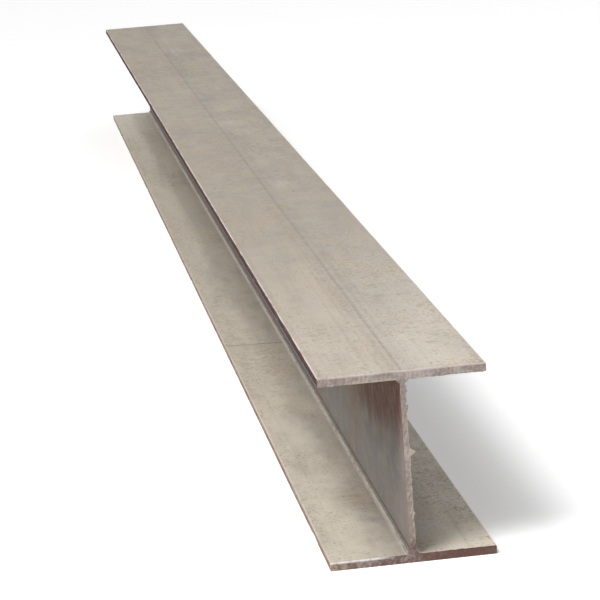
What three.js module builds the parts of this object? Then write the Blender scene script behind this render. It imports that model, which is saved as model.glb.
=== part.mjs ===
// Steel H-beam: a built-up section of a web plate and two flange plates, with a fillet weld in each
// inner corner, sawn square to a stock length. The welds run the whole length and fuse the plates,
// so the steel is one solid. Its web stands upright and it lies on its bottom flange.
//
// Millimetres, +Z up. X runs across the flanges, Y along the beam.
// The origin is on the underside of the bottom flange, at the middle of its length and width.
import * as THREE from 'three';

// Driving dimensions.
const beamLength = 6000;
const sectionHeight = 350;
const flangeWidth = 300;
const webThickness = 10;
const flangeThickness = 16;
const weldLeg = 6;          // how far each weld reaches along the web and along the flange
const edgeRadius = 2;       // rounding of the flanges' long edges
const arcDivisions = 4;     // three.js gives an arc two facets for each division

const QUARTER_TURN = Math.PI / 2;
const HALF_TURN = Math.PI;

// What the outline passes in the section's right half, from the bottom up, about the section's
// centre: quarter arcs round the flanges' edges, and the toes where a weld meets a plate.
function rightHalf() {
  const edgeX = flangeWidth / 2 - edgeRadius;
  const webX = webThickness / 2;
  const outerFace = sectionHeight / 2;
  const innerFace = outerFace - flangeThickness;
  return [
    { arc: true, x: edgeX, z: -outerFace + edgeRadius, start: -QUARTER_TURN },
    { arc: true, x: edgeX, z: -innerFace - edgeRadius, start: 0 },
    { arc: false, x: webX + weldLeg, z: -innerFace },
    { arc: false, x: webX, z: -innerFace + weldLeg },
    { arc: false, x: webX, z: innerFace - weldLeg },
    { arc: false, x: webX + weldLeg, z: innerFace },
    { arc: true, x: edgeX, z: innerFace + edgeRadius, start: -QUARTER_TURN },
    { arc: true, x: edgeX, z: outerFace - edgeRadius, start: 0 },
  ];
}

// The whole section, anticlockwise. Half a turn about its centre brings it back onto itself,
// so the right half is drawn a second time, turned, for the left half.
// Straight faces join each arc or toe to the one before it.
function sectionOutline() {
  const outline = new THREE.Shape();
  for (const side of [1, -1]) {
    const turned = side === 1 ? 0 : HALF_TURN;
    for (const mark of rightHalf()) {
      if (mark.arc) {
        const start = mark.start + turned;
        outline.absarc(side * mark.x, side * mark.z, edgeRadius, start, start + QUARTER_TURN, false);
      } else {
        outline.lineTo(side * mark.x, side * mark.z);
      }
    }
  }
  return outline;
}

// The outline is carried straight along the length. The turn about X lays that length along Y,
// and the two moves centre it there and bring the underside down to Z = 0.
function beamGeometry() {
  const geometry = new THREE.ExtrudeGeometry(sectionOutline(), {
    depth: beamLength,
    bevelEnabled: false,
    curveSegments: arcDivisions,
  });
  geometry.translate(0, 0, -beamLength / 2);
  geometry.rotateX(QUARTER_TURN);
  geometry.translate(0, 0, sectionHeight / 2);
  return geometry;
}

// Weathered mill scale: a warm grey oxide skin, dull, with the steel showing through a little.
const millScale = new THREE.MeshStandardMaterial({ color: 0x958c80, roughness: 0.62, metalness: 0.45 });

const beam = new THREE.Mesh(beamGeometry(), millScale);
beam.name = 'h_beam';

const part = new THREE.Group();
part.add(beam);

export default part;
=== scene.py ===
# %% [markdown]
# # A welded steel H-beam
#
# This lesson dresses one piece of building steel: a built-up H-beam, 350 mm high, 300 mm wide and 6 m long.
# Three strips of plate, a web and two flanges, were stood together, and a machine laid a weld in each of the
# four inner corners, so they are one piece now. Its looks come from four places: the exact section, the weld
# seams, the ragged edge that the saw left, and the skin of oxide and rust on the steel.
#
# The packed CAD model is loaded first. It is the frame that everything else is measured from, and its box
# is kept, because the dressed beam has to stay inside it.

# %% Load the frame
import math
from functools import partial

import bpy
import numpy as np
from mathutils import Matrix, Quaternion, Vector


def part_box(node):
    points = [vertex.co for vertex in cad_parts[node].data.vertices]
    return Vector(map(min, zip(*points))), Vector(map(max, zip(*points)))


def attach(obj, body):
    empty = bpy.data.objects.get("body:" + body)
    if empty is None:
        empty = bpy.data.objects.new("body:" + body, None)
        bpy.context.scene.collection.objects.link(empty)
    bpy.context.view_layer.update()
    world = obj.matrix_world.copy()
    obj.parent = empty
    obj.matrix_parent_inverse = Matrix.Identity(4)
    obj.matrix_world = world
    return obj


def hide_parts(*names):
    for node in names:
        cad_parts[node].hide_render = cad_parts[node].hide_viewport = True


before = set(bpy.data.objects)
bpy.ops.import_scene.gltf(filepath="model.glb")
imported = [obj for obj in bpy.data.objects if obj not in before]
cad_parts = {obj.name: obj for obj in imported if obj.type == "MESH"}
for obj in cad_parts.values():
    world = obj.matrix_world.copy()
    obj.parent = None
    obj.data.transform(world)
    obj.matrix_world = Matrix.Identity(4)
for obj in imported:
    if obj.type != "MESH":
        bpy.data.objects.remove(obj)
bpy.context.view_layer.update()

low_corner, high_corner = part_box("h_beam")
WIDTH, LENGTH, HEIGHT = high_corner - low_corner
NEAR_END = low_corner.y
print(f"beam: {WIDTH * 1000:.0f} mm wide, {HEIGHT * 1000:.0f} mm high, {LENGTH:.2f} m long")

# %% New objects
def put_in_scene(name, data):
    """A new object that holds the data."""
    thing = bpy.data.objects.new(name, data)
    bpy.context.scene.collection.objects.link(thing)
    return thing


# %% [markdown]
# ## The camera
#
# The beam is seen the way a person sees stock in a steel yard: standing a few steps from its end, a little
# to the left of it, and looking down along it. The eye's place is measured from the middle of the near
# end's lower edge, so the camera would follow the beam if its length changed.
#
# The camera could be moved closer to fill the picture, but that would change how the two flanges line up.
# A long lens leaves the view as it is. The camera is turned a little about its own axis too, because the
# beam is seen off to one side, where uprights lean.

# %% Place the camera
EYE_FROM_NEAR_END = Vector((-0.702, -4.610, 1.475))
LOOK_RIGHT = math.radians(6.6)
LOOK_DOWN = math.radians(11.95)
CAMERA_ROLL = math.radians(-4.2)
LENS_MM = 165.0
SIGHT = 100.0               # how far the camera sees, in metres


def make_camera():
    look = Vector((
        math.sin(LOOK_RIGHT) * math.cos(LOOK_DOWN),
        math.cos(LOOK_RIGHT) * math.cos(LOOK_DOWN),
        -math.sin(LOOK_DOWN),
    ))
    camera = put_in_scene("yard_camera", bpy.data.cameras.new("yard_camera"))
    camera.location = Vector((0, NEAR_END, 0)) + EYE_FROM_NEAR_END
    camera.rotation_mode = "QUATERNION"
    camera.rotation_quaternion = look.to_track_quat("-Z", "Y") @ Quaternion((0, 0, 1), CAMERA_ROLL)
    camera.data.lens = LENS_MM
    camera.data.clip_end = SIGHT
    bpy.context.scene.camera = camera
    return camera


camera = make_camera()
print("camera stands at", [round(v, 2) for v in camera.location])

# %% [markdown]
# ## The section
#
# The web plate stands upright between the two flange plates. A weld fills each inner corner, with a flat face
# that reaches 6 mm along either plate. The flanges' long edges are ground a little round.
#
# The section could be drawn point by point, but it is better worked out, so that each size is written down
# once. Half a turn brings it onto itself, so only the right half is listed.

# %% The section's sizes
WEB_THICKNESS = 0.010
FLANGE_THICKNESS = 0.016
WELD_LEG = 0.006
EDGE_RADIUS = 0.002
QUARTER_TURN = math.pi / 2

web_face = WEB_THICKNESS / 2
weld_toe = web_face + WELD_LEG
outer_face = HEIGHT / 2
inner_face = outer_face - FLANGE_THICKNESS
edge_x = WIDTH / 2 - EDGE_RADIUS
print(f"channels: {2 * inner_face * 1000:.0f} mm high, {(WIDTH / 2 - web_face) * 1000:.0f} mm deep")

# %% [markdown]
# The points stand closest where the shape turns, round the flanges' edges, and where the saw's burr will
# need them, up the web. A flange's wide outer face gets by with few.

# %% Work out the section
OUTER_STEP = 0.006          # spacing of the points along a flange's outer face
INNER_STEP = 0.003          # along its inner faces
TIP_STEP = 0.003            # across its narrow edge
WEB_STEP = 0.002            # up the web
WELD_STEP = 0.003           # across a weld's face
EDGE_STEP = 0.0008          # and round a flange's edge


def edge_arc(centre_z, start):
    """A quarter circle round a flange's edge: centre + radius * (cos, sin) of evenly spaced angles."""
    steps = math.ceil(EDGE_RADIUS * QUARTER_TURN / EDGE_STEP)
    angle = start + QUARTER_TURN * np.linspace(0.0, 1.0, steps + 1)
    return np.array([edge_x, centre_z]) + EDGE_RADIUS * np.stack([np.cos(angle), np.sin(angle)], axis=1)


def straight(start, end, step):
    """Evenly spaced points from start to end: start + share * (end - start)."""
    start, end = np.array(start), np.array(end)
    steps = math.ceil(np.linalg.norm(end - start) / step)
    return start + np.linspace(0.0, 1.0, steps + 1)[:, None] * (end - start)


def section_outline():
    """The whole section, anticlockwise: the right half's edges and welds from the bottom up, then the same
    ones turned half round, each joined to the next by a straight face."""
    turns = [
        edge_arc(EDGE_RADIUS - outer_face, -QUARTER_TURN),
        edge_arc(-EDGE_RADIUS - inner_face, 0.0),
        straight((weld_toe, -inner_face), (web_face, WELD_LEG - inner_face), WELD_STEP),
        straight((web_face, inner_face - WELD_LEG), (weld_toe, inner_face), WELD_STEP),
        edge_arc(inner_face + EDGE_RADIUS, -QUARTER_TURN),
        edge_arc(outer_face - EDGE_RADIUS, 0.0),
    ]
    turns += [-turn for turn in turns]
    face_steps = [TIP_STEP, INNER_STEP, WEB_STEP, INNER_STEP, TIP_STEP, OUTER_STEP] * 2
    points = []
    for number, step in enumerate(face_steps):
        after = turns[(number + 1) % len(turns)]
        points += [turns[number], straight(turns[number][-1], after[0], step)[1:-1]]
    return np.concatenate(points)


def outward_directions(points):
    """At each point, the mean direction of the two steps that meet there, turned a quarter turn to the
    right, which points out of the steel because the outline runs anticlockwise."""
    ahead = np.roll(points, -1, axis=0) - points
    ahead /= np.linalg.norm(ahead, axis=1, keepdims=True)
    along_outline = ahead + np.roll(ahead, 1, axis=0)
    along_outline /= np.linalg.norm(along_outline, axis=1, keepdims=True)
    return np.stack([along_outline[:, 1], -along_outline[:, 0]], axis=1)


section = section_outline()
section_outward = outward_directions(section)
across, up = section[:, 0], section[:, 1] + HEIGHT / 2
print(f"the section has {len(section)} points")

# %% [markdown]
# ## The stations along the beam
#
# The section is carried along the beam, from one station to the next. A beam is so straight that stations
# far apart would do, but the saw's burr is only a few millimetres deep and a knock on an edge is only as
# long as a thumb. So the stations crowd together at both ends and round each knock, and stay far apart
# elsewhere, which keeps the mesh light.

# %% Stations and knocks
STATION_STEP = 0.08
END_STEP = 0.0004           # the first step in from a sawn end
END_GROWTH = 1.45           # each next step is this much longer
KNOCK_COUNT = 11
KNOCK_ZONE = 0.48           # knocks keep this share of the length from the middle, or less
KNOCK_REACH = 0.022         # half the length of a knock
ROUND_KNOCK = np.linspace(-1, 1, 5)     # the stations about one, in reaches
DIGITS = 5                  # places are rounded to 0.01 mm, which merges doubles

rng = np.random.default_rng(350)
knock_places = np.sort(rng.uniform(-KNOCK_ZONE, KNOCK_ZONE, KNOCK_COUNT)) * LENGTH


def stations():
    """Places along Y: even steps in the middle, steps that grow geometrically away from each end, and five
    more about each knock."""
    count = math.ceil(math.log(STATION_STEP / END_STEP) / math.log(END_GROWTH))
    from_end = np.concatenate([[0.0], np.cumsum(END_STEP * END_GROWTH ** np.arange(count))])
    plain = np.arange(from_end[-1], LENGTH - from_end[-1], STATION_STEP)
    near_knocks = knock_places[:, None] + KNOCK_REACH * ROUND_KNOCK
    inner = np.concatenate([plain, near_knocks.ravel() + LENGTH / 2])
    inner = inner[(inner > from_end[-1]) & (inner < LENGTH - from_end[-1])]
    places = np.unique(np.round(np.concatenate([from_end, inner, LENGTH - from_end]), DIGITS))
    return places - LENGTH / 2


along = stations()
print(f"{len(along)} stations, so {len(along) * len(section)} points on the skin")

# %% [markdown]
# ## The skin
#
# Three things move the skin off the perfect shape. The welds' heat pulls at the plates, so its faces are a
# fraction of a millimetre hollow here and there. Chains and forks knock small flats into the flanges' edges.
# And the saw pushes a ragged fin of steel, the burr, out of the far side of its cut.
#
# They could be sculpted or made with a noise modifier. Here each is a function of the place round the
# section and the place along the beam, and gives how far the skin moves out of the steel, so that it can be
# measured and kept small. Hollows and knocks only go inwards, so the beam never outgrows its real size.

# %% Hollows in the faces
HOLLOW_DEPTH = 0.0005
HOLLOW_WAVES = ((1, 2.3), (2, -1.1), (3, 0.83), (5, -1.7), (4, 0.55))   # turns round, metres along

outline_step = np.linalg.norm(np.roll(section, -1, axis=0) - section, axis=1)
perimeter = outline_step.sum()
around = (np.cumsum(outline_step) - outline_step) / perimeter


def hollows():
    """Minus the depth times a number from 0 to 1, which is the mean of slow waves in both directions:
    0.5 + 0.5 * mean of sin(turns round the section + waves along the beam + a phase)."""
    waves = np.zeros((len(along), len(section)))
    for turns, metres in HOLLOW_WAVES:
        phase = rng.uniform(0, 2 * math.pi)
        waves += np.sin(2 * math.pi * (turns * around[None, :] + along[:, None] / metres) + phase)
    return -HOLLOW_DEPTH * (0.5 + 0.5 * waves / len(HOLLOW_WAVES))


hollow_depth = hollows()
print(f"one turn round the section is {perimeter:.2f} m; hollows go {-hollow_depth.min() * 1000:.2f} mm deep")

# %% Knocks on the edges
KNOCK_DEPTH = 0.0022
SHALLOWEST_KNOCK = 0.4      # as a share of the deepest
KNOCK_SPREAD = 0.006        # how far a knock spreads from the flange's edge


def knocks():
    """Minus the depth times a round dent for each knock: the product of two bells, exp(-(distance / width)
    squared), one along the beam and one about a flange's edge."""
    dents = np.zeros((len(along), len(section)))
    for place in knock_places:
        side, flange = rng.choice([-1, 1]), rng.choice([0.0, HEIGHT])
        depth = KNOCK_DEPTH * rng.uniform(SHALLOWEST_KNOCK, 1.0)
        from_edge = np.hypot(across - side * WIDTH / 2, up - flange)
        bell_along = np.exp(-(((along - place) / (0.5 * KNOCK_REACH)) ** 2))
        dents += depth * bell_along[:, None] * np.exp(-((from_edge / KNOCK_SPREAD) ** 2))[None, :]
    return -np.minimum(dents, KNOCK_DEPTH)


knock_depth = knocks()
print(f"{KNOCK_COUNT} knocks, the deepest {-knock_depth.min() * 1000:.1f} mm")

# %% The saw's burr
BURR_DEPTH = 0.0040         # how far the burr's teeth stand out of a face
BURR_REACH = 0.0024         # how far it reaches back from the cut
BURR_CURVE = 1.3            # how quickly it thins out on the way
BURR_MARGIN = 0.004         # it keeps this far from the beam's outer faces
WEB_SIDE = 0.008            # points up to here from the middle belong to the web's side
FAR_SIDE, FLANGES, NEAR_SIDE = 1.0, 0.45, 0.2       # its depth on the web's right, right flanges and left
NUB_HEIGHT = 0.202          # at the near end one lump of it hangs on the right of the web
NUB_DEPTH = 0.011
NUB_SIZE = 0.0055
NUB_REACH = 0.0072
TOOTH_POWER = 4             # high powers leave few high teeth
SHARED = 0.35               # what each neighbour gets of a tooth
SLOW_POINTS = 19            # the slow wave's window
SLOW_RANGE = -0.6, 1.6      # of its random numbers
CLEANEST = 0.15             # the least that it leaves of the teeth


def teeth(count):
    """Numbers from 0 to 1 that are mostly small, with a few high ones: a power of random numbers, each
    shared with its two neighbours, times a slower random wave, so that ragged stretches and clean ones
    take turns. The wave is the mean of random numbers in a window, whose weights add up to 1."""
    rough = rng.uniform(0, 1, count) ** TOOTH_POWER
    shared = rough + SHARED * (np.roll(rough, 1) + np.roll(rough, -1))
    window = np.hanning(SLOW_POINTS) / (SLOW_POINTS // 2)
    slow = np.convolve(rng.uniform(*SLOW_RANGE, count), window, mode="same")
    return np.clip(shared * np.clip(slow, CLEANEST, 1), 0, 1)


def burr(end, nub_depth):
    """The burr at one sawn end: ragged teeth round the section, times a curve that falls from 1 at the cut
    to 0 at its reach. It stands only on faces that look into the channels, and mostly on the saw's far
    side, so it stays inside the beam's box. The nub is a bell up the web that reaches back further."""
    in_channel = (np.abs(across) < WIDTH / 2 - BURR_MARGIN) & (up > BURR_MARGIN) & (up < HEIGHT - BURR_MARGIN)
    on_far_side = (across > 0) & (across < WEB_SIDE)
    share = np.where(on_far_side, FAR_SIDE, np.where(across > 0, FLANGES, NEAR_SIDE)) * in_channel
    depth = BURR_DEPTH * share * teeth(len(section))
    nub = nub_depth * np.exp(-(((up - NUB_HEIGHT) / NUB_SIZE) ** 2)) * on_far_side
    from_cut = np.abs(along - end)
    fin = np.clip(1 - from_cut / BURR_REACH, 0, 1) ** BURR_CURVE
    lump = np.clip(1 - from_cut / NUB_REACH, 0, 1)
    return fin[:, None] * depth[None, :] + lump[:, None] * nub[None, :]


burr_depth = burr(-LENGTH / 2, NUB_DEPTH) + burr(LENGTH / 2, 0.0)
lift = hollow_depth + knock_depth + burr_depth
print(f"the skin moves from {lift.min() * 1000:.1f} to {lift.max() * 1000:.1f} mm")

# %% [markdown]
# ## The mesh
#
# The skin is a grid: one row of points for each station, and one column for each point of the section. Each
# cell of the grid becomes a four-sided face, and the last column joins the first, which closes the tube.
# The two sawn ends are one flat face each, and get a material of their own. Blender's curve tool could
# carry a section along a line too, but it gives no hold on the single points that the burr needs.

# %% Tubes from grids
SKIN, SAWN = 0, 1           # the places of the two materials
SHARP_ANGLE = math.radians(35)


def grid_faces(rows, columns):
    """The corner numbers of every cell between two rows and two neighbouring columns, wound so that the
    faces look outwards."""
    row = np.arange(rows - 1)[:, None] * columns
    here = np.arange(columns)[None, :]
    after = (here + 1) % columns
    corners = [row + here, row + columns + here, row + columns + after, row + after]
    return np.stack(corners, axis=-1).reshape(-1, 4)


def make_tubes(name, grids):
    """One object of closed tubes, one for each grid of points. A tube's sides come first, then its near
    end's flat face, and its far end's with the corners in the opposite order."""
    corners, sizes, first = [], [], 0
    for grid in grids:
        rows, columns = grid.shape[:2]
        sides = grid_faces(rows, columns)
        far_end = (rows - 1) * columns + np.arange(columns)[::-1]
        corners.append(first + np.concatenate([sides.ravel(), np.arange(columns), far_end]))
        sizes += [4] * len(sides) + [columns] * 2
        first += rows * columns
    corners, sizes = np.concatenate(corners), np.array(sizes)

    mesh = bpy.data.meshes.new(name)
    mesh.vertices.add(first)
    mesh.vertices.foreach_set("co", np.concatenate([grid.ravel() for grid in grids]))
    mesh.loops.add(len(corners))
    mesh.loops.foreach_set("vertex_index", corners.astype(np.int32))
    mesh.polygons.add(len(sizes))
    mesh.polygons.foreach_set("loop_start", (np.cumsum(sizes) - sizes).astype(np.int32))
    mesh.polygons.foreach_set("material_index", np.where(sizes > 4, SAWN, SKIN).astype(np.int32))
    mesh.update(calc_edges=True)
    mesh.validate()
    mesh.shade_smooth()
    mesh.set_sharp_from_angle(angle=SHARP_ANGLE)
    print(f"{name}: {len(mesh.polygons)} faces, {len(mesh.vertices)} points")
    return put_in_scene(name, mesh)


print("a grid of 3 rows and 4 columns makes", len(grid_faces(3, 4)), "faces")

# %% Build the beam
def beam_grid():
    """Each point is section + lift * outward direction, at each station."""
    x = across[None, :] + lift * section_outward[None, :, 0]
    z = up[None, :] + lift * section_outward[None, :, 1]
    return np.stack([x, np.broadcast_to(along[:, None], x.shape), z], axis=-1)


beam = make_tubes("welded_h_beam", [beam_grid()])

# %% [markdown]
# ## The weld seams
#
# The welding head crawls along each inner corner under a blanket of powder, and leaves a seam: a bead of
# melted steel, a little crowned and never quite even. The seams could be part of the skin, but its stations
# are far too wide apart for that. So each is a slim tube of its own. Its face is a surface of two
# parameters: how far along the beam, and how far from its toe on the flange to its toe on the web. Both
# toes and the back lie just inside the steel, so no gap shows.

# %% Weld seams
SEAM_STEP = 0.004           # between two stations
SEAM_STRIPS = 6             # across a seam's face
SEAM_LEG = 0.0069           # from the corner to either toe
SEAM_WANDER = 0.0006        # how far a toe strays
SEAM_SINK = 0.0006          # how deep the toes and the back lie in the steel
CROWN = 0.0008              # how far the face swells
SEAM_INSET = 0.0003         # the seams end this far inside the saw cuts
RIPPLE_LENGTHS = (0.013, 0.019, 0.031, 0.052, 0.110)

seam_end = LENGTH / 2 - SEAM_INSET
seam_along = np.linspace(-seam_end, seam_end, round(LENGTH / SEAM_STEP) + 1)


def ripple():
    """A number from -1 to 1 for each station, as a column: the mean of waves of several lengths."""
    turns = [seam_along / length + rng.uniform() for length in RIPPLE_LENGTHS]
    return np.mean(np.sin(2 * math.pi * np.array(turns)), axis=0)[:, None]


def seam_grid(side, flange, inwards):
    """The face at share t of the way up is corner + (1 - t) * flange leg + t * web leg, swelled along the
    corner's diagonal by crown * 4t(1 - t). One more column is the back."""
    share = np.linspace(0.0, 1.0, SEAM_STRIPS + 1)[None, :]
    swell = CROWN * (1 + ripple()) * 4 * share * (1 - share) / math.sqrt(2)
    from_web = (SEAM_LEG + SEAM_WANDER * ripple()) * (1 - share) - SEAM_SINK * share + swell
    from_flange = (SEAM_LEG + SEAM_WANDER * ripple()) * share - SEAM_SINK * (1 - share) + swell
    back = np.full((len(seam_along), 1), -SEAM_SINK)
    x = side * (web_face + np.hstack([from_web, back]))
    z = flange + inwards * np.hstack([from_flange, back])
    grid = np.stack([x, np.broadcast_to(seam_along[:, None], x.shape), z], axis=-1)
    return grid if side * inwards > 0 else grid[:, ::-1]


LEDGE = FLANGE_THICKNESS                # height of the ledge, the lower flange's upper face
CEILING = HEIGHT - FLANGE_THICKNESS     # and of the top flange's underside
seams = make_tubes("weld_seams", [
    seam_grid(side, flange, inwards)
    for side in (-1, 1)
    for flange, inwards in ((LEDGE, 1), (CEILING, -1))
])

# %% [markdown]
# ## Words for the materials
#
# A material is a network of nodes. Written out one by one they hide the idea, so small functions stand for
# the words used below: a number that fades in, a sum of shares, a coat of colour laid over the ones before.
# Each adds a node to the tree that its inputs come from and hands back the node's output, so the words can
# be written one inside the other like arithmetic.

# %% Colours
def paint(red, green, blue):
    """A colour from its 0-255 screen values, as the linear numbers that a shader wants. With 1 for 255, a
    small value is divided by 12.92, and a larger one becomes ((value + 0.055) / 1.055) ** 2.4."""
    screen = np.array([red, green, blue]) / 255
    linear = np.where(screen <= 0.04045, screen / 12.92, ((screen + 0.055) / 1.055) ** 2.4)
    return (*linear.tolist(), 1.0)


print("mid grey is", round(paint(128, 128, 128)[0], 3), "in linear light")

# %% New nodes
def is_output(value):
    return isinstance(value, bpy.types.NodeSocket)


def feed(socket, value):
    """Links the socket to a node's output, or writes a plain value in it."""
    if is_output(value):
        socket.id_data.links.new(value, socket)
    else:
        socket.default_value = value


def fit(node, **inputs):
    """Feeds a node's inputs by name. An underscore in a name stands for a space."""
    for name, value in inputs.items():
        feed(node.inputs[name.replace("_", " ")], value)
    return node


def add(tree, kind, **inputs):
    return fit(tree.nodes.new("ShaderNode" + kind), **inputs)


print("is a plain number a node's output?", is_output(0.5))

# %% Arithmetic
COLOUR_A, COLOUR_B, COLOUR_RESULT = 6, 7, 2     # a colour Mix node's sockets


def work_out(operation, first, second=0.0):
    """One Math node, in the tree of whichever value is an output."""
    node = add(first.id_data if is_output(first) else second.id_data, "Math")
    node.operation = operation
    feed(node.inputs[0], first)
    feed(node.inputs[1], second)
    return node.outputs[0]


def in_turn(operation, result, *others):
    """The operation on the first two values, then on their result and the third, and so on."""
    for other in others:
        result = work_out(operation, result, other)
    return result


total = partial(in_turn, "ADD")
times = partial(in_turn, "MULTIPLY")
most = partial(in_turn, "MAXIMUM")
least = partial(in_turn, "MINIMUM")
minus = partial(work_out, "SUBTRACT")


def away(value, place):
    """How far value is from place, either way."""
    return work_out("ABSOLUTE", minus(value, place))


def shares(*pairs):
    """The sum of value * share over the pairs."""
    return total(*[times(*pair) for pair in pairs])


def fade(value, start, full, floor=0.0, top=1.0):
    """floor up to start, top from full on, and a smooth rise between. With start above full it falls."""
    node = add(value.id_data, "MapRange", Value=value, From_Min=start, From_Max=full)
    fit(node, To_Min=floor, To_Max=top)
    node.interpolation_type = "SMOOTHSTEP"
    return node.outputs["Result"]


def bell(value, middle, half_width):
    """1 where value is middle, falling smoothly to 0 at half_width on either side."""
    return fade(away(value, middle), half_width, 0.0)


def coat(under, over, where, strength=1.0):
    """The colour under with a coat of the colour over: under + where * strength * (over - under)."""
    node = add(where.id_data, "Mix")
    node.data_type = "RGBA"
    feed(node.inputs["Factor"], where if strength == 1.0 else times(where, strength))
    feed(node.inputs[COLOUR_A], under)
    feed(node.inputs[COLOUR_B], over)
    return node.outputs[COLOUR_RESULT]


def relief(height, depth, under=None):
    """Bumps of the given depth in metres, on top of the bumps under them."""
    node = add(height.id_data, "Bump", Strength=1.0, Distance=depth, Height=height)
    if under is not None:
        feed(node.inputs["Normal"], under)
    return node.outputs["Normal"]


print("words: total, times, most, least, minus, away, shares, fade, bell, coat, relief")

# %% Coats of colour
class Finish:
    """One material under construction. It starts as one plain colour and gets its coats one by one."""

    def __init__(self, name, colour):
        self.material = bpy.data.materials.new(name)
        self.material.use_nodes = True
        self.tree = self.material.node_tree
        self.colour = colour

    def lay(self, over, *where, strength=1.0):
        """Lays a coat of the colour over on the coats so far, where all the masks are 1."""
        self.colour = coat(self.colour, over, times(*where), strength)

    def wear(self, **sockets):
        """Gives the shader the colour of all the coats, and its other sockets their values."""
        fit(self.tree.nodes["Principled BSDF"], Base_Color=self.colour, **sockets)

    def tell(self, step):
        print(f"{self.material.name}, {step}: {len(self.tree.nodes)} nodes so far")


print("a finish can", ", ".join(word for word in vars(Finish) if not word.startswith("_")))

# %% [markdown]
# Steel needs patterns too. They could be painted on images, but a pattern that is worked out from the place
# in the steel needs no unwrapping, has no seams, and keeps its size in millimetres. So each pattern takes
# the size of its patches and how many times longer they are across the beam, along it and upwards: what
# rollers and guides leave is long and thin, and what water leaves hangs down the web.
#
# A cloud's numbers lie mostly between 0.3 and 0.7. A fade between two of them picks patches out of it: two
# that lie close together give a crisp border, and high ones leave only a few patches.

# %% Patterns
class PatternedFinish(Finish):
    """A finish whose patterns are fixed in the steel: they follow the place on the beam, in metres."""

    def __init__(self, name, colour):
        super().__init__(name, colour)
        self.place = add(self.tree, "TexCoord").outputs["Object"]
        self.x, self.y, self.z = add(self.tree, "SeparateXYZ", Vector=self.place).outputs

    def spread(self, size, shift, turn=0, across=1, along=1, up=1):
        """The place, turned by turn degrees about X and Z and measured in patches of size metres, times
        across, along and up. Shift moves a pattern along, so that no two of them line up."""
        place = self.place
        if turn:
            angle = math.radians(turn)
            place = add(self.tree, "Mapping", Vector=place, Rotation=(angle, 0, angle)).outputs[0]
        patches = tuple(1 / (size * longer) for longer in (across, along, up))
        shifts = (shift, shift, shift)
        return add(self.tree, "Mapping", Vector=place, Location=shifts, Scale=patches).outputs[0]

    def cloud(self, size, detail=4, roughness=0.55, shift=0.0, **longer):
        """A cloud pattern from 0 to 1, mostly near the middle."""
        place = self.spread(size, shift, **longer)
        noise = add(self.tree, "TexNoise", Vector=place, Scale=1.0, Detail=detail, Roughness=roughness)
        return noise.outputs["Fac"]

    def cells(self, size, shift=0.0):
        """Angular cells, each with one random number from 0 to 1."""
        place = self.spread(size, shift)
        colours = add(self.tree, "TexVoronoi", Vector=place, Scale=1.0).outputs["Color"]
        return add(self.tree, "SeparateXYZ", Vector=colours).outputs["X"]


print("patterns:", ", ".join(word for word in vars(PatternedFinish) if not word.startswith("_")))

# %% [markdown]
# ## Mill scale
#
# Plate leaves the rolls covered in a blue-black oxide, the mill scale. After some weeks in the yard it has
# turned to a dull, warm grey. One noise pattern would look like cloth or stone. Five patterns together make
# the tone instead: broad bands along the beam, bands across it, a soft mottling, fine lines that run its
# whole length, and a grain. The contrast stays low, because rolled steel only looks busy close by.

# %% The tone of the scale
DARK_SCALE = paint(137, 129, 118)
MIDDLE_SCALE = paint(155, 146, 132)
PALE_SCALE = paint(171, 161, 146)

scale = PatternedFinish("weathered_mill_scale", DARK_SCALE)
bands = scale.cloud(0.07, along=5, detail=3, shift=1.3)
cross_bands = scale.cloud(0.09, across=3, detail=3, shift=2.6)
mottling = scale.cloud(0.03, along=1.5, detail=7, roughness=0.6, shift=7.7)
roll_lines = scale.cloud(0.0035, along=220, detail=2, shift=3.1)
grain = scale.cloud(0.0030, roughness=0.7, shift=11.0)

tone = shares((bands, 0.32), (cross_bands, 0.14), (mottling, 0.28), (roll_lines, 0.12), (grain, 0.14))
scale.lay(MIDDLE_SCALE, fade(tone, 0.36, 0.50))
scale.lay(PALE_SCALE, fade(tone, 0.49, 0.64))
scale.tell("tone")

# %% [markdown]
# The next coats need to know where they are. A few masks say so: 1 on the web, on the flanges or on the
# ledge, which is the lower flange's upper face, and 0 elsewhere. They fade over a millimetre or two.
#
# From here on, a named pair of places in metres is either a fade's start and where it is full, or a bell's
# middle and how far it reaches either way.

# %% Where on the beam
EDGE = WIDTH / 2
SOFT = 0.0015               # half the width of a soft border

from_middle = work_out("ABSOLUTE", scale.x)
from_near_end = minus(scale.y, NEAR_END)
above_ledge = fade(scale.z, LEDGE - SOFT, LEDGE + SOFT)
between_flanges = times(above_ledge, fade(scale.z, CEILING + SOFT, CEILING - SOFT))
on_web = times(fade(from_middle, web_face + 2 * SOFT, web_face + SOFT), between_flanges)
on_flanges = minus(1.0, on_web)
beside_web = fade(from_middle, web_face + SOFT, web_face + 2 * SOFT)
under_air = fade(scale.z, LEDGE + 2 * SOFT, LEDGE)
on_ledge = times(beside_web, fade(scale.z, LEDGE - SOFT, LEDGE - SOFT / 2), under_air)
scale.tell("masks")

# %% [markdown]
# The upright web is painted cooler, greyer and darker than the flanges: painted shade under the top flange,
# with a cool tint of sky light. On the flanges cool and warm patches take turns. Where the oxide still holds,
# it shows as a cooler map with crisp edges.
# The flanges are palest at the near end: partly dust, and partly painted light that falls off along the beam.

# %% Painted shade on the web, patches and dust
COOL_SCALE = paint(130, 129, 130)
SHADED_WEB_SCALE = paint(128, 125, 124)
WARM_SCALE = paint(156, 141, 123)
DUST_AND_LIGHT_SCALE = paint(197, 189, 176)
DUST_AND_LIGHT_STRETCH = 1.6, 0.0    # from the near end

# painted shade: the web is coated darker and cooler than the flanges, as under the top flange with sky light
scale.lay(SHADED_WEB_SCALE, on_web, fade(mottling, 0.35, 0.6, 0.60, 0.90))

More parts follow.
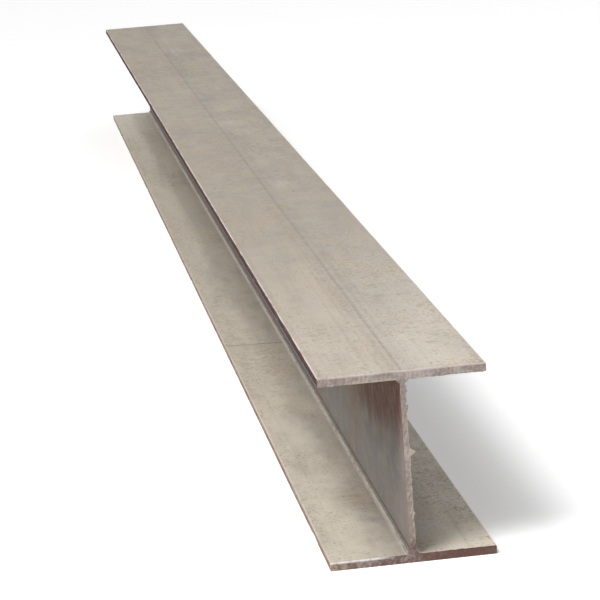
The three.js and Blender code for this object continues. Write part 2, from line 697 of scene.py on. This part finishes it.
cool_patches = scale.cloud(0.15, along=2, detail=6, roughness=0.6, shift=30.0)
warm_patches = scale.cloud(0.11, along=2, detail=6, roughness=0.6, shift=37.0)
scale.lay(COOL_SCALE, on_flanges, fade(cool_patches, 0.46, 0.64), strength=0.28)
scale.lay(WARM_SCALE, on_flanges, fade(warm_patches, 0.50, 0.66), strength=0.45)

oxide_map = scale.cloud(0.050, along=3, detail=10, roughness=0.68, shift=44.0)
scale.lay(COOL_SCALE, fade(oxide_map, 0.515, 0.540), fade(on_web, 0.0, 1.0, 0.24, 0.10))

# partly dust, partly painted light: the flanges are painted paler towards the near end, falling off along the
# beam
near_end_dust_and_light = fade(from_near_end, *DUST_AND_LIGHT_STRETCH)
scale.lay(DUST_AND_LIGHT_SCALE, on_flanges, near_end_dust_and_light, fade(tone, 0.38, 0.58, 0.45, 1.0), strength=0.75)
scale.tell("patches and dust")

# %% [markdown]
# ## What the welds' heat left
#
# The welds' heat tints the oxide round them, and goes right through the flanges. So each flange has a faint
# strip on its outer face too, over the web, and the rolls that press the flanges straight again leave a thin
# darker line along its middle. On one side of that line the scale is a shade browner. The tint follows the
# distance from the nearest inner corner, so one formula gives every strip.

# %% Heat tint and the middle line
HEAT_TINT = paint(124, 117, 113)
HEATED = 0.030, 0.012       # from the nearest corner
BROWNED_SCALE = paint(158, 142, 122)
MIDDLE_LINE = paint(112, 103, 94)
LINE_WANDER = 0.006         # the bands' share of the line's place
LINE_ACROSS = 0.5 * LINE_WANDER, 0.0055

to_inner_face = least(away(scale.z, LEDGE), away(scale.z, CEILING))
to_corner = most(minus(from_middle, web_face), to_inner_face)
heated = fade(to_corner, *HEATED)
scale.lay(HEAT_TINT, heated, fade(mottling, 0.3, 0.65, 0.5, 1.0), strength=0.22)

to_outer_face = least(away(scale.z, 0.0), away(scale.z, HEIGHT))
on_outer = fade(to_outer_face, 2 * SOFT, SOFT)
scale.lay(BROWNED_SCALE, on_outer, fade(scale.x, SOFT, -SOFT), strength=0.22)
pressed = bell(shares((scale.x, 1.0), (bands, LINE_WANDER)), *LINE_ACROSS)
scale.lay(MIDDLE_LINE, on_outer, pressed, fade(tone, 0.35, 0.6, 0.6, 1.0), strength=0.42)
scale.tell("heat")

# %% [markdown]
# ## The ledge
#
# The lower flange's upper face is a ledge that the rain reaches. Its outer half is pale, partly washed by the
# rain and partly painted light. Towards the web it is browner and darker, partly grime and partly painted
# shade under the top flange, though not at the very end. Further along, both fade, and painted light makes
# the ledge more even. A puddle that dried on the left, not far from the end, left a browner patch. One thin
# dark line, a little slanted, crosses the ledge. A bell about a slanted line gives that, and the mottling
# makes it waver.

# %% Washed half and grime, with painted light and shade
WASHED_AND_LIT_LEDGE = paint(208, 200, 184)
WASHED_AND_LIT = EDGE - 0.125, EDGE - 0.050     # from the middle, outwards
EVEN_STRETCH = 0.55, 1.25               # from the near end, as the next two
NEAR_END_CLEAR = 0.20, 0.40
FADING_ALONG = 0.50, 1.10
LEDGE_GRIME_AND_SHADE = paint(128, 117, 103)
GRIMY_AND_SHADED = EDGE - 0.060, weld_toe + 0.005  # from the middle, inwards

outwards = fade(from_middle, *WASHED_AND_LIT)
painted_even_light = fade(from_near_end, *EVEN_STRETCH, 0.0, 0.55)
washed_and_lit_bands = fade(bands, 0.25, 0.55, 0.6, 1.0)
# painted light, partly a rain wash: the ledge's outer half, and the whole ledge further along, are painted
# paler
scale.lay(WASHED_AND_LIT_LEDGE, on_ledge, most(outwards, painted_even_light), washed_and_lit_bands, strength=0.80)

towards_web = fade(from_middle, *GRIMY_AND_SHADED)
grime_and_shade_bands = fade(bands, 0.30, 0.62, 1.0, 0.35)
past_end = fade(from_near_end, *NEAR_END_CLEAR, 0.05, 1.0)
fading_along = fade(from_near_end, *FADING_ALONG, 1.0, 0.30)
# partly grime, partly painted shade: the ledge is painted browner and darker towards the web, under the top
# flange
scale.lay(LEDGE_GRIME_AND_SHADE, on_ledge, towards_web, grime_and_shade_bands, past_end, fading_along, strength=0.46)
scale.tell("washed half and grime")

# %% Puddle and the dark cross line
PUDDLE_BROWN = paint(134, 118, 98)
PUDDLE_ACROSS = -0.052, 0.060
PUDDLE_ALONG = 0.39, 0.14   # from the near end
DARK_CROSS_LINE = paint(92, 84, 75)
CROSS_LINE_ALONG = -1.22, 0.006
CROSS_LINE_SLANT = 0.12
CROSS_LINE_WAVER = 0.010

puddle = times(bell(scale.x, *PUDDLE_ACROSS), bell(from_near_end, *PUDDLE_ALONG))
streaks = scale.cloud(0.020, across=3, shift=27.0)
scale.lay(PUDDLE_BROWN, on_ledge, puddle, fade(streaks, 0.35, 0.60, 0.45, 1.0), strength=0.55)

# one thin dark line across the ledge, a little slanted, that wavers with the mottling
slanted = shares((scale.y, 1.0), (scale.x, CROSS_LINE_SLANT), (mottling, CROSS_LINE_WAVER))
cross_line = bell(slanted, *CROSS_LINE_ALONG)
scale.lay(DARK_CROSS_LINE, on_ledge, cross_line, fade(cross_bands, 0.35, 0.55, 0.3, 1.0), strength=0.7)
scale.tell("puddle and chain")

# %% [markdown]
# ## Lines and flakes
#
# Guides and rollers draw a few darker lines along the bar, and dragging scratches it at a slight angle. A
# cloud that is stretched a hundred times along the beam and cut off high up leaves such thin lines.
#
# Straightening cracks the oxide, and it springs off in crisp flakes a few millimetres across. A cell
# pattern gives those: each cell draws one random number, and only the highest ones lose their scale.

# %% Lines, scratches and flakes
LINE_TONE = paint(128, 119, 108)
SCRATCHED = paint(198, 190, 178)
BARE_STEEL = paint(141, 124, 107)

drawn = scale.cloud(0.016, along=300, detail=3, shift=17.0)
scale.lay(LINE_TONE, fade(drawn, 0.60, 0.66), strength=0.15)

one_way = scale.cloud(0.0022, along=90, detail=1, shift=19.0, turn=5)
other_way = scale.cloud(0.0022, along=60, detail=1, shift=23.0, turn=-9)
scratched = most(fade(one_way, 0.72, 0.76), fade(other_way, 0.73, 0.77))
scale.lay(SCRATCHED, scratched, strength=0.30)

flake_cluster = scale.cloud(0.22, along=2.5, shift=4.0)
small_flakes = total(scale.cells(0.004), flake_cluster)
large_flakes = total(scale.cells(0.010, shift=5.0), flake_cluster)
flaked = most(fade(small_flakes, 1.42, 1.44), fade(large_flakes, 1.50, 1.52))
scale.lay(BARE_STEEL, flaked, strength=0.32)
scale.tell("lines and flakes")

# %% [markdown]
# ## Rust
#
# Rust comes through first where water hangs: on the web under the top flange, most of all at the sawn end.
# The brown and dark coats there are partly rust and partly painted shade under the top flange's overhang. How
# wet and shaded a place is, is a sum of shares: how high up, how near the end, and two patterns that break
# the border up. Where the sum passes a threshold the dark rust and shade begin, so the border looks grown,
# not drawn.
#
# Over the rest of the web rust is only a warm stain in soft upright columns, and in some stretches only.
# Small spots come anywhere, and more of them along the flanges' edges.

# %% Rust and painted shade on the web
BROWN_RUST = paint(140, 117, 98)
DARK_RUST = paint(112, 75, 66)
HIGH_UP = 0.16, 0.28
RUST_STRETCH = 0.75, 0.375  # from the near end
RUST_SLANT = 0.12           # the rust reaches lower down as it goes away from the end

columns = scale.cloud(0.11, up=4, roughness=0.5, shift=5.2)
stretches = scale.cloud(0.55, detail=1, shift=21.4)
stained = fade(shares((columns, 1.0), (stretches, 0.8)), 0.84, 1.12)
scale.lay(BROWN_RUST, on_web, stained, strength=0.55)

high_up = fade(shares((scale.z, 1.0), (from_near_end, RUST_SLANT)), *HIGH_UP)
at_end = fade(from_near_end, *RUST_STRETCH)
patches = scale.cloud(0.06, along=1.2, up=1.6, detail=6, shift=12.2)
runs = scale.cloud(0.025, up=4, detail=3, shift=9.2)
# partly rust, partly painted shade: the web is painted browner and darker high up under the top flange, most
# near the end
wet_and_shaded = shares((high_up, 0.60), (at_end, 0.50), (patches, 0.60), (runs, 0.30))
scale.lay(BROWN_RUST, on_web, fade(wet_and_shaded, 0.95, 1.25), strength=0.30)
holes = scale.cloud(0.018, up=1.8, detail=6, roughness=0.7, shift=33.0)
end_rust_and_shade = times(on_web, fade(wet_and_shaded, 1.10, 1.60), fade(holes, 0.36, 0.56, 0.45, 1.0))
scale.lay(DARK_RUST, end_rust_and_shade, strength=0.85)
scale.tell("rust on the web")

# %% Rust spots
ORANGE_RUST = paint(150, 114, 82)
BY_EDGE = EDGE - 0.032, EDGE
BY_END = 0.10, 0.0

spots = scale.cloud(0.007, detail=5, roughness=0.6, shift=15.0)
spot_cluster = scale.cloud(0.10, along=2, shift=2.0)
by_edge = fade(from_middle, *BY_EDGE)
by_end = fade(from_near_end, *BY_END)
rusting = shares((spots, 1.0), (spot_cluster, 0.40), (by_edge, 0.06), (by_end, 0.05))
speckled = fade(rusting, 0.82, 0.89)
scale.lay(ORANGE_RUST, speckled, strength=0.55)
scale.tell("rust spots")

# %% [markdown]
# ## Edges and the foot of the web
#
# The top flange's narrow edges carry a dark, purplish rust. The lower one's are dry and dusty, with rust only
# in patches. Their arrises carry a bright line, partly rubbed by handling and partly a painted highlight. A
# thin dark line runs along the web just over the lower seams, and a little dust lies on the ledge beside
# them. Each is a bell about a line, broken up by a cloud. They could be strips of mesh, but they have no
# thickness, so they belong in the colour.

# %% Edges
EDGE_RUST = paint(62, 32, 39)
DUSTY_EDGE = paint(170, 151, 133)
RUSTY_EDGE = paint(128, 94, 78)
WORN_AND_HIGHLIGHT_STEEL = paint(208, 196, 189)
NARROW_EDGE = EDGE - 0.0014, EDGE - 0.0006
UPPER_EDGE = 0.3 * HEIGHT, 0.7 * HEIGHT
ARRIS = 0.0022, 0.0012                  # from a flange's upper face
LONG_ARRIS = EDGE - 0.0012, 0.0030      # from the middle
END_ARRIS = 0.005, 0.002                # from the near end

edge_breakup = scale.cloud(0.02, along=4, detail=5, shift=13.0)
on_edge = fade(from_middle, *NARROW_EDGE)
low_edge = coat(DUSTY_EDGE, RUSTY_EDGE, fade(edge_breakup, 0.42, 0.60), strength=0.7)
edge_colour = coat(low_edge, EDGE_RUST, fade(scale.z, *UPPER_EDGE))
scale.lay(edge_colour, on_edge, fade(edge_breakup, 0.2, 0.45, 0.7, 1.0))

to_upper_face = least(away(scale.z, HEIGHT), away(scale.z, LEDGE))
on_arris = fade(to_upper_face, *ARRIS)
long_arris = bell(from_middle, *LONG_ARRIS)
end_arris = times(fade(from_near_end, *END_ARRIS), on_flanges)
# partly wear, partly painted highlight: a bright line along the flanges' upper arrises
any_arris = times(on_arris, most(long_arris, end_arris))
scale.lay(WORN_AND_HIGHLIGHT_STEEL, any_arris, fade(edge_breakup, 0.38, 0.55, 0.25, 0.9))
scale.tell("edges")

# %% The foot of the web
DUST = paint(222, 217, 208)
DARK_TOE_LINE = paint(74, 68, 64)
TOE_LINE_WAVER = 0.004
TOE_LINE_HEIGHT = LEDGE + WELD_LEG + 0.004, 0.0046
DUST_ACROSS = weld_toe + 0.002, 0.0022

wander = scale.cloud(0.03, along=3, detail=3, shift=8.0)
over_seam = shares((scale.z, 1.0), (wander, TOE_LINE_WAVER))
# a thin dark line along the web just over the lower seams
scale.lay(DARK_TOE_LINE, on_web, bell(over_seam, *TOE_LINE_HEIGHT), strength=0.8)

specks = scale.cloud(0.006, along=3, detail=3, shift=6.0)
settled = fade(shares((specks, 0.6), (edge_breakup, 0.4)), 0.38, 0.55, 0.30, 1.0)
scale.lay(DUST, on_ledge, bell(from_middle, *DUST_ACROSS), settled, strength=0.35)
scale.tell("foot")

# %% [markdown]
# ## Shine and relief
#
# Sound scale has a dull sheen, and rust has none, so each mark above adds its share to the roughness or
# takes it away. The relief is fine: a mottling like an orange's skin, the grain, the roll lines, and the
# step down at each flake. These are too small and too many for the mesh, so they are bumps.

# %% Shine and relief
SCALE_METAL = 0.22          # how much bare metal shows through the scale
DULL = 0.32                 # a weathered skin mirrors less than a clean one

roughness = shares(
    (fade(mottling, 0.3, 0.7, 0.50, 0.66), 1.0),
    (flaked, 0.10),
    (end_rust_and_shade, 0.25),
    (speckled, 0.20),
    (on_edge, 0.36),
    (on_web, 0.30),
    (scratched, -0.10),
)
bumps = relief(mottling, depth=0.0010)
bumps = relief(grain, depth=0.00040, under=bumps)
bumps = relief(roll_lines, depth=0.00012, under=bumps)
bumps = relief(minus(1.0, flaked), depth=0.00015, under=bumps)
scale.wear(Roughness=roughness, Normal=bumps, Metallic=SCALE_METAL, Specular_IOR_Level=DULL)
scale.tell("whole")

# %% [markdown]
# ## The seams' metal
#
# A seam has no mill scale. It cools under its powder to a pale, faintly rippled crust. The dark line on the
# web over the lower pair darkens their upper halves too. Under the top flange the crust is duller and
# browner, and rust eats it near the sawn end.
#
# The ripples are chevrons that trail behind the welding head. A sine of the place along the beam would give
# straight ones, so the height over the ledge is added to it before the sine is taken.

# %% The seams' finish
SEAM_DULL = paint(122, 114, 104)
SEAM_PALE = paint(172, 163, 150)
SEAM_HIGH = paint(112, 103, 95)
UPPER_TOE = LEDGE + 0.45 * WELD_LEG, LEDGE + 0.80 * WELD_LEG
HIGH_SEAM = 0.4 * HEIGHT, 0.6 * HEIGHT
EATEN_STRETCH = 0.35, 0.0   # from the near end
RIPPLE_SPACING = 0.0032
RIPPLE_WAVER = 0.0010
CHEVRON = 0.6               # how steeply the ripples slant

seam = PatternedFinish("weld_seam", SEAM_DULL)
crust = seam.cloud(0.010, along=2.5, detail=5, roughness=0.65, shift=9.0)
slow_crust = seam.cloud(0.060, along=3, detail=3, shift=14.0)
seam.lay(SEAM_PALE, fade(shares((crust, 0.55), (slow_crust, 0.45)), 0.36, 0.54))
seam.lay(DARK_TOE_LINE, fade(seam.z, *UPPER_TOE), strength=0.70)

high_seam = fade(seam.z, *HIGH_SEAM)
seam.lay(SEAM_HIGH, high_seam, strength=0.8)
seam_at_end = fade(minus(seam.y, NEAR_END), *EATEN_STRETCH)
eaten = fade(shares((seam_at_end, 0.7), (slow_crust, 0.5)), 0.5, 0.7)
seam.lay(DARK_RUST, high_seam, eaten, strength=0.85)
seam_spots = seam.cloud(0.008, detail=5, roughness=0.6, shift=15.0)
seam.lay(BROWN_RUST, fade(seam_spots, 0.60, 0.68), strength=0.6)

ripple_place = shares((seam.y, 1.0), (seam.z, CHEVRON), (crust, RIPPLE_WAVER))
ripples = work_out("SINE", times(ripple_place, 2 * math.pi / RIPPLE_SPACING))
seam_bumps = relief(crust, depth=0.0005, under=relief(ripples, depth=0.00012))
seam_roughness = fade(crust, 0.3, 0.7, 0.45, 0.62)
seam.wear(Roughness=seam_roughness, Normal=seam_bumps, Metallic=SCALE_METAL, Specular_IOR_Level=DULL)
seam.tell("whole")

# %% [markdown]
# ## The sawn ends
#
# A big circular saw cuts the bar to length. Its teeth leave faint arcs on a face that is brighter than the
# skin. A pinkish film of rust soon comes over it, thickest on the bottom flange, where the end stays wet.
# The arcs could be cut into the mesh, but they are a tenth of a millimetre deep. A sine of the distance
# from the saw's centre gives their tone and relief at once.

# %% The sawn face
FILMED_CUT = paint(143, 129, 122)
FRESH_CUT = paint(180, 171, 165)
RUSTED_CUT = paint(98, 68, 60)
SHADED_CUT = paint(122, 112, 107)
SAW_CENTRE = (-0.9, 0.0, 0.55)
TOOTH_SPACING = 0.0075
SAW_WAVER = 0.01
SHADED_HEIGHT = 0.20, 0.32
LOW_DOWN = 0.08, 0.015
RIGHT_END = -0.02, 0.03

sawn = PatternedFinish("sawn_end", FILMED_CUT)
film = sawn.cloud(0.007, detail=6, roughness=0.65)
broad_film = sawn.cloud(0.06, detail=2, shift=3.0)

flat_place = add(sawn.tree, "CombineXYZ", X=sawn.x, Z=sawn.z).outputs[0]
from_saw = add(sawn.tree, "VectorMath")
from_saw.operation = "DISTANCE"
feed(from_saw.inputs[0], flat_place)
feed(from_saw.inputs[1], SAW_CENTRE)
arc_place = shares((from_saw.outputs["Value"], 1.0), (broad_film, SAW_WAVER))
arcs = work_out("SINE", times(arc_place, 2 * math.pi / TOOTH_SPACING))

cut_tone = shares((film, 0.6), (broad_film, 0.4), (arcs, 0.014))
sawn.lay(FRESH_CUT, fade(cut_tone, 0.40, 0.62))
shaded = fade(sawn.z, *SHADED_HEIGHT)
sawn.lay(SHADED_CUT, shaded, fade(sawn.z, CEILING, CEILING - SOFT), strength=0.3)
low_down = fade(sawn.z, *LOW_DOWN)
sawn.lay(RUSTED_CUT, low_down, fade(cut_tone, 0.62, 0.42, 0.32, 0.78))
sawn.lay(RUSTED_CUT, low_down, fade(sawn.x, *RIGHT_END), strength=0.68)
sawn.tell("face")

# %% [markdown]
# The burr catches dust and turns ochre: down the right of the web, at the bottom flange's left corner and
# in a thin line under the top flange. Each is a box-shaped mask, as the section's faces are straight.

# %% Ochre burr
OCHRE_CUT = paint(190, 174, 148)
WEB_RIGHT = 0.0025, 0.0045  # across, as the next four
WEB_RIGHT_END = 0.024, 0.018
LEFT_CORNER = -0.095, -0.140
LEFT_START = -0.12, -0.08
LEFT_END = -web_face, -0.012
OFF_LEDGE = 0.03, 0.05      # heights
OFF_TOP = 0.32, 0.30
UNDER_TOP = CEILING + SOFT, 0.0035

right_of_web = times(fade(sawn.x, *WEB_RIGHT), fade(sawn.x, *WEB_RIGHT_END))
clear_of_flanges = times(fade(sawn.z, *OFF_LEDGE), fade(sawn.z, *OFF_TOP))
corner = times(fade(sawn.x, *LEFT_CORNER), low_down)
left_part = times(fade(sawn.x, *LEFT_END), fade(sawn.x, *LEFT_START))
under_flange = times(bell(sawn.z, *UNDER_TOP), left_part)
ochre = most(times(right_of_web, clear_of_flanges), times(corner, 0.6), under_flange)
sawn.lay(OCHRE_CUT, ochre, fade(film, 0.38, 0.56, 0.2, 0.75))
sawn.tell("burr")

# %% [markdown]
# The upper arrises of the two flanges are partly burnished by whatever slides over them and partly given a
# painted highlight, so each is a bright line just under its flange's upper face, and the lower one shows
# only on the left.

# %% Burnished arrises and painted highlights
ARRIS_HIGHLIGHT = paint(248, 243, 240)
ARRIS_DROP = 0.0012         # the burnished line's middle lies this far under the arris
TOP_ARRIS = HEIGHT - ARRIS_DROP, 0.0026
LEDGE_ARRIS = LEDGE - ARRIS_DROP, 0.0040
LEDGE_LEFT = -0.030, -0.070

# partly burnishing, partly painted highlight: bright lines along the sawn end's upper arrises
top_arris_highlight = bell(sawn.z, *TOP_ARRIS)
sawn.lay(WORN_AND_HIGHLIGHT_STEEL, top_arris_highlight, fade(broad_film, 0.35, 0.55, 0.35, 0.95))
ledge_arris_highlight = times(bell(sawn.z, *LEDGE_ARRIS), fade(sawn.x, *LEDGE_LEFT))
sawn.lay(ARRIS_HIGHLIGHT, ledge_arris_highlight, fade(film, 0.30, 0.50, 0.6, 1.0))
sawn.tell("arrises")

# %% Shine and relief of the cut
CUT_METAL = 0.3

cut_bumps = relief(film, depth=0.0006, under=relief(arcs, depth=0.00014))
cut_roughness = fade(film, 0.3, 0.7, 0.42, 0.62)
sawn.wear(Roughness=cut_roughness, Normal=cut_bumps, Metallic=CUT_METAL, Specular_IOR_Level=DULL)
for piece, skin in ((beam, scale), (seams, seam)):
    piece.data.materials.append(skin.material)
    piece.data.materials.append(sawn.material)
    print(piece.name, "wears", [m.name for m in piece.data.materials])

# %% [markdown]
# ## The beam stands for the CAD solid
#
# The plain solid could be kept and only given a material, but its ends would be as clean as a drawing. So
# the dressed beam and its seams ride on the part's one body and hide the solid, which stays in the
# simulation.

# %% Tie the pieces to the frame
for piece in (beam, seams):
    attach(piece, "root")
    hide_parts("h_beam")
    print(piece.name, "rides on root")

# %% [markdown]
# ## The floor
#
# A plain pale floor catches the shadow. It could simply be made bright, but it would then throw too much
# light up onto the underside. So it has two colours: white for the camera and for reflections, with a
# little glow that takes it to pure white where no shadow falls, and a light grey for the light that it
# throws back.

# %% What an eye or a mirror sees
SEEING_RAYS = ("Is Camera Ray", "Is Glossy Ray", "Is Transmission Ray")


def seen_white(tree):
    """1 for a ray from the camera, off a mirror or through glass, and 0 for one that only gives light: the
    highest of three answers from a Light Path node."""
    path = add(tree, "LightPath")
    return most(*[path.outputs[ray] for ray in SEEING_RAYS])


print("white is what these rays see:", ", ".join(SEEING_RAYS))

# %% Floor
FLOOR_SIZE = 80.0
FLOOR_GREY = paint(165, 163, 160)
WHITE = paint(255, 255, 255)
FLOOR_GLOW = 0.22
MATT = 0.9


def make_floor():
    h = FLOOR_SIZE / 2
    mesh = bpy.data.meshes.new("floor")
    mesh.from_pydata([(-h, -h, 0), (h, -h, 0), (h, h, 0), (-h, h, 0)], [], [(0, 1, 2, 3)])
    plain = Finish("pale_floor", FLOOR_GREY)
    seen = seen_white(plain.tree)
    plain.lay(WHITE, seen)
    glow = times(seen, FLOOR_GLOW)
    plain.wear(Roughness=MATT, Specular_IOR_Level=0.0, Emission_Color=WHITE, Emission_Strength=glow)
    mesh.materials.append(plain.material)
    put_in_scene("floor", mesh)


make_floor()
print(f"the floor is {FLOOR_SIZE:.0f} m square")

# %% [markdown]
# ## The light
#
# The main light is soft and high and comes from the left, so it reaches in over the bottom flange while the
# top flange keeps the web in half shade. A weak one from the front lights the sawn end, and a weaker one
# from behind keeps the shaded side readable. All three are far lamps, which light the whole length alike. A
# lamp of strength pi that shone straight down would show each colour as it is written, so each is given as
# a share of that. One broad disk near the end makes the light fall off along the beam.

# %% Lamps
FULL_LEVEL = math.pi
FAR_LAMPS = (               # name, direction, share of the full level and width in the sky in degrees
    ("high_left_light", (-0.46, -0.30, 0.84), 0.43, 40),
    ("front_fill", (-0.10, -0.95, 0.28), 0.15, 60),
    ("back_fill", (0.65, 0.60, 0.46), 0.12, 60),
)
DISK_PLACE = Vector((-3.2, -5.0, 6.0))
DISK_AIM = Vector((0.0, -2.0, 0.0))
DISK_SIZE = 3.0
DISK_WATTS = 320.0


def add_lamp(name, kind, towards, strength):
    """A lamp of the given kind that shines from the direction towards."""
    lamp = put_in_scene(name, bpy.data.lights.new(name, kind))
    lamp.rotation_mode = "QUATERNION"
    lamp.rotation_quaternion = Vector(towards).to_track_quat("Z", "Y")
    lamp.data.energy = strength
    return lamp


for name, towards, share, width in FAR_LAMPS:
    add_lamp(name, "SUN", towards, FULL_LEVEL * share).data.angle = math.radians(width)
disk = add_lamp("near_end_light", "AREA", DISK_PLACE - DISK_AIM, DISK_WATTS)
disk.location = DISK_PLACE
disk.data.shape = "DISK"
disk.data.size = DISK_SIZE

# %% [markdown]
# The sky is white where the camera or a reflection sees it, and dimmer where it only gives light, like the
# floor. The view transform is the plain one, so that a colour comes out as it was written.

# %% Sky and view
SKY_LEVEL = 0.24


def make_sky():
    world = bpy.data.worlds.new("pale_sky")
    world.use_nodes = True
    level = fade(seen_white(world.node_tree), 0.0, 1.0, SKY_LEVEL, 1.0)
    fit(world.node_tree.nodes["Background"], Color=WHITE, Strength=level)
    bpy.context.scene.world = world


make_sky()
bpy.context.scene.view_settings.view_transform = "Standard"
print("sky level", SKY_LEVEL, "with the", bpy.context.scene.view_settings.view_transform, "view")
